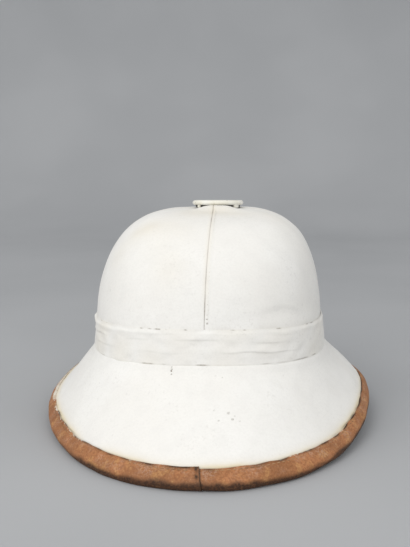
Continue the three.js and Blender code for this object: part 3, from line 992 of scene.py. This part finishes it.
def add_ventilator():
    sides = 112
    profile, shade_rows = vent_profile()
    around = np.linspace(0, TURN, sides, endpoint=False)
    waver = 1 + 0.006 * np.sin(3 * around + 0.8) + 0.004 * np.sin(7 * around)
    tilt = math.radians(VENT.tilt)
    rings = []
    for r, z in profile[1:-1]:
        in_cap = r > VENT.nut_radius + 1
        radius = r * np.where(in_cap, waver, 1)
        dent = 0.12 * np.sin(5 * around + r) * in_cap
        lean = -tilt * radius * np.sin(around) * smooth_step(0.0, VENT.stand, np.array(z))
        rings.append(np.stack([radius * np.cos(around), radius * np.sin(around), z + dent + lean], -1))
    points = np.concatenate([[[0, 0, profile[0, 1]]], *rings, [[0, 0, profile[-1, 1]]]])
    under = np.concatenate([shade_rows[:1], np.repeat(shade_rows[1:-1], sides), shade_rows[-1:]])
    faces = [(0, 1 + (k + 1) % sides, 1 + k) for k in range(sides)]
    for level in range(len(rings) - 1):
        faces += faces_between(1 + level * sides, 1 + (level + 1) * sides, sides)
    top, last = len(points) - 1, 1 + (len(rings) - 1) * sides
    faces += [(last + k, last + (k + 1) % sides, top) for k in range(sides)]
    added = [(*lug_box(math.radians(degrees), width), 0.0) for degrees, width in LUGS]
    # The neck is all painted shade, and the lugs have none.
    added.append((*shaded_neck_ring(around), 1.0))
    for more_points, more_faces, shade in added:
        faces += [tuple(v + len(points) for v in f) for f in more_faces]
        points = np.concatenate([points, more_points])
        under = np.concatenate([under, np.full(len(more_points), shade)])
    reach = np.hypot(points[:, 0], points[:, 1])
    marks = {"edge": smooth_step(VENT.cap_radius - 5, VENT.cap_radius - 2, reach), "under": under}
    placed = points + np.array([VENT.offset, 0, CROWN.top])
    add_mesh("vent_cap", placed, faces, marks, METAL_PAINT, ["ventilator"])


# Stitches

SEAM_STITCH = dict(pitch=3.2, length=2.2, radius=0.2)
SEAM_STITCH_ASIDE = 2.5  # from the seam
BINDING_STITCH = dict(pitch=4.0, length=2.9, radius=0.42)
BINDING_STITCH_IN = 2.4  # from the leather's edge
STITCH_FLATNESS = 0.7
BELOW = 4.0  # depth of a second path, for the way the surface faces


def stitch_shape(rings=6, sides=8):
    """A unit stitch along x, half a unit long each way, with rounded ends."""
    places = np.cos(np.linspace(math.pi, 0, rings))
    widths = np.sqrt(1 - (places * 0.985) ** 2)
    around = np.linspace(0, TURN, sides, endpoint=False)
    points = [(p / 2, w * math.cos(a), w * math.sin(a)) for p, w in zip(places, widths) for a in around]
    faces = [tuple(reversed(range(sides))), tuple(range((rings - 1) * sides, rings * sides))]
    for ring in range(rings - 1):
        faces += faces_between(ring * sides, (ring + 1) * sides, sides)
    return np.array(points), faces


def add_stitches(name, path, normals, material, slot, pitch, length, radius):
    """Stitches along a path of points, each half sunk into the surface below it."""
    distance = lengths_along(path)
    centres = np.arange(pitch, distance[-1] - pitch, pitch)

    def sample(values, at):
        return np.stack([np.interp(at, distance, values[:, i]) for i in range(3)], -1)

    middle = sample(path, centres)
    heading = unit(sample(path, centres + 0.5) - sample(path, centres - 0.5))
    side = unit(np.cross(sample(normals, centres), heading))
    normal = np.cross(heading, side)
    shape, shape_faces = stitch_shape()
    points = (
        middle[:, None]
        + heading[:, None] * shape[None, :, :1] * length
        + side[:, None] * shape[None, :, 1:2] * radius
        + normal[:, None] * shape[None, :, 2:] * radius * STITCH_FLATNESS
    )
    faces = [tuple(v + n * len(shape) for v in f) for n in range(len(middle)) for f in shape_faces]
    add_mesh(name, points.reshape(-1, 3), faces, {}, material, ())


def crown_seam_stitches():
    """A row beside each of the two end seams, on the panel to its right."""
    lifts = crown_lifts(160)
    for name, t0 in (("seam_stitches_near", 0.0), ("seam_stitches_far", math.pi)):
        t = np.full_like(lifts, t0)
        rise = crown_point(t, lifts, 0.0)[:, 2] - BrimLine(t).foot_z
        keep = rise > BAND_TOP + 1.5
        path = crown_point(t, lifts, -FELL.proud - 0.02)[keep]
        inner = crown_point(t, lifts, BELOW)[keep]
        path[:, 0] += SEAM_STITCH_ASIDE
        reach = np.hypot(path[:, 0] - VENT.offset, path[:, 1])
        shown = reach > VENT.cap_radius + 2
        normals = (path - inner)[shown]
        add_stitches(name, path[shown], normals, PAINTED_THREAD, "painted_cloth", **SEAM_STITCH)


def binding_stitches():
    t = np.radians(np.linspace(1.2, 358.8, 900))[:, None]
    share = 1 - (cover_width(t) - BINDING_STITCH_IN) / BrimLine(t).length
    path = brim_point(t, share, -(GAP + LEATHER - BINDING_STITCH["radius"]))[:, 0]
    normals = path - brim_point(t, share, BELOW)[:, 0]
    add_stitches("binding_stitches", path, normals, TAN_THREAD, "leather", **BINDING_STITCH)


add_shell()
for number, place_name in enumerate(("near_right", "far_right", "far_left", "near_left")):
    crown_panel(place_name, number)
add_brim()
add_band()
add_binding()
add_ventilator()
crown_seam_stitches()
binding_stitches()


# Floor, light and camera

FLOOR = Named(front=-3.0, wall=2.4, curve=0.9, top=4.0, half_width=4.0)  # in metres
FLOOR_GREYS = [(0.4, 0.41, 0.425), (0.43, 0.44, 0.455)]
CAMERA = Named(lens=48.15, sensor=36.0, tilt=8.34, turn=2.271, across=21.35, back=630.4, height=210.2)
SKY = Named(colour=(0.995, 0.995, 0.99, 1), strength=0.87)

# Area lights: name, place and size in metres, power, colour. All aim at the middle of the helmet.
AIM = (0, 0, 0.08)
LIGHTS = [
    ("key", (-0.75, -1.4, 1.6), 1.2, 10.8, (1, 0.985, 0.955)),
    ("front", (-0.2, -2.0, 0.45), 0.8, 4.4, (1, 0.985, 0.96)),
    ("left", (-1.2, -1.6, 0.5), 0.9, 2.2, (1, 0.985, 0.96)),
]


def add_floor():
    """A pale floor that curves up into a plain wall behind the helmet."""
    wall, curve, side = FLOOR.wall, FLOOR.curve, FLOOR.half_width
    angles = np.linspace(0, math.pi / 2, 16)
    profile = [(FLOOR.front, 0.0)]
    profile += [(wall - curve + curve * math.sin(a), curve - curve * math.cos(a)) for a in angles]
    profile.append((wall, FLOOR.top))
    points = [(x, y, z) for y, z in profile for x in (-side, side)]
    faces = [(2 * i, 2 * i + 1, 2 * i + 3, 2 * i + 2) for i in range(len(profile) - 1)]
    mesh = bpy.data.meshes.new("floor")
    mesh.from_pydata(points, [], faces)
    mesh.shade_smooth()
    shader = Shader("pale_floor")
    tone = shader.step(shader.noise(400, 2), 0.3, 0.7)
    mesh.materials.append(shader.finish(shader.mix(tone, *FLOOR_GREYS), 0.8, specular=0.2))
    floor = link("floor", mesh)


def add_light(name, place, size, power, colour):
    data = bpy.data.lights.new(name, "AREA")
    data.shape = "DISK"
    data.size = size
    data.energy = power
    data.color = colour
    light = link(name, data)
    light.location = place
    light.rotation_euler = (Vector(AIM) - Vector(place)).to_track_quat("-Z", "Y").to_euler()


def add_camera():
    data = bpy.data.cameras.new("camera")
    data.sensor_width = CAMERA.sensor
    data.lens = CAMERA.lens
    camera = link("camera", data)
    camera.location = np.array([CAMERA.across, -CAMERA.back, CAMERA.height]) * MM
    camera.rotation_euler = (math.radians(90 - CAMERA.tilt), 0, math.radians(CAMERA.turn))
    bpy.context.scene.camera = camera


def add_world():
    world = bpy.data.worlds.new("studio")
    world.use_nodes = True
    background = world.node_tree.nodes["Background"]
    background.inputs["Color"].default_value = SKY.colour
    background.inputs["Strength"].default_value = SKY.strength
    bpy.context.scene.world = world


add_floor()
for light_row in LIGHTS:
    add_light(*light_row)
add_world()
add_camera()
bpy.context.scene.view_settings.view_transform = "Standard"
